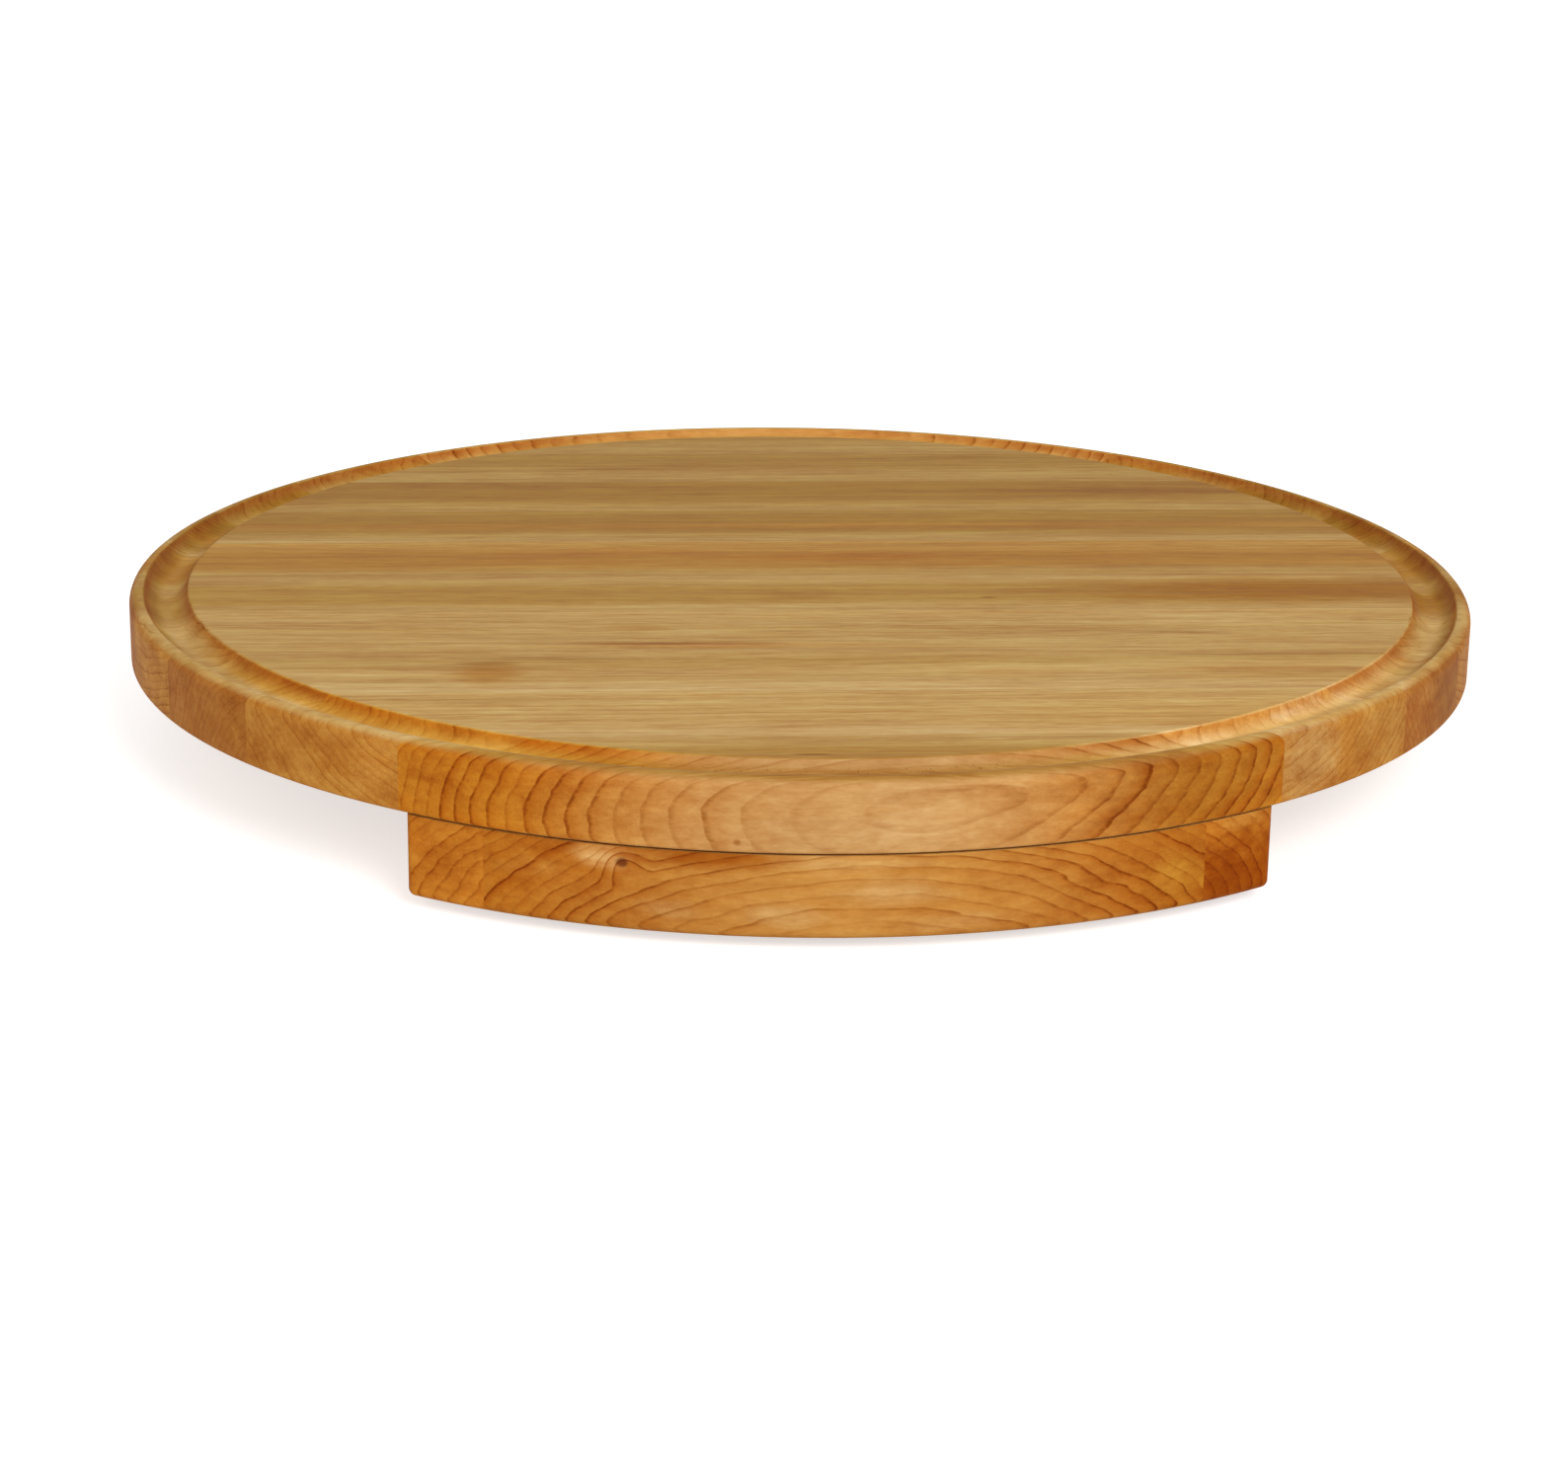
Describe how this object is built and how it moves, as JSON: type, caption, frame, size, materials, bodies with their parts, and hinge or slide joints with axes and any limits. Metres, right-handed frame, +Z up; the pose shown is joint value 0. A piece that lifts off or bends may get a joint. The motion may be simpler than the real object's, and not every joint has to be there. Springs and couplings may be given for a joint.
{
  "type": "lazy susan turntable",
  "caption": "Round solid-wood board with a juice groove round its rim, spinning on a ball-bearing plate let into a thick wooden base with a curved front and back, on rubber feet.",
  "frame": {"origin": "on the floor, under the middle of the board, on the bearing's axis", "axes": "+X to the right along the staves, -Y the front, +Z up out of the serving face"},
  "size_m": [0.4572, 0.4572, 0.0541],
  "materials": {
    "maple_board": "satin oiled maple",
    "maple_base": "satin oiled maple",
    "rubber": "matte",
    "plate_steel": "zinc plated",
    "ball_steel": "polished",
    "cage_nylon": "matte",
    "screw_steel": "zinc plated"
  },
  "bodies": {
    "base": {"base_stave_01": "maple_base", "base_stave_02": "maple_base", "base_stave_03": "maple_base", "base_stave_04": "maple_base", "base_stave_05": "maple_base", "base_stave_06": "maple_base", "base_stave_07": "maple_base", "base_stave_08": "maple_base", "base_stave_09": "maple_base", "base_stave_10": "maple_base", "base_stave_11": "maple_base", "rubber_foot_front_left": "rubber", "rubber_foot_front_right": "rubber", "rubber_foot_back_left": "rubber", "rubber_foot_back_right": "rubber", "bearing_lower_plate": "plate_steel", "lower_plate_screws": "screw_steel", "foot_screws": "screw_steel"},
    "turntable": {"top_stave_01": "maple_board", "top_stave_02": "maple_board", "top_stave_03": "maple_board", "top_stave_04": "maple_board", "top_stave_05": "maple_board", "top_stave_06": "maple_board", "top_stave_07": "maple_board", "top_stave_08": "maple_board", "top_stave_09": "maple_board", "top_stave_10": "maple_board", "bearing_upper_plate": "plate_steel", "upper_plate_screws": "screw_steel"},
    "bearing_cage": {"ball_cage": "cage_nylon", "bearing_balls": "ball_steel"}
  },
  "joints": [
    {"name": "turntable_spin", "type": "hinge", "parent": "base", "child": "turntable", "pos_m": [0, 0, 0.0273], "axis": [0, 0, 1], "continuous": true},
    {"name": "cage_spin", "type": "hinge", "parent": "base", "child": "bearing_cage", "pos_m": [0, 0, 0.0273], "axis": [0, 0, 1], "continuous": true}
  ],
  "couplings": [
    {"joint": "cage_spin", "follows": "turntable_spin", "ratio": 0.5}
  ]
}
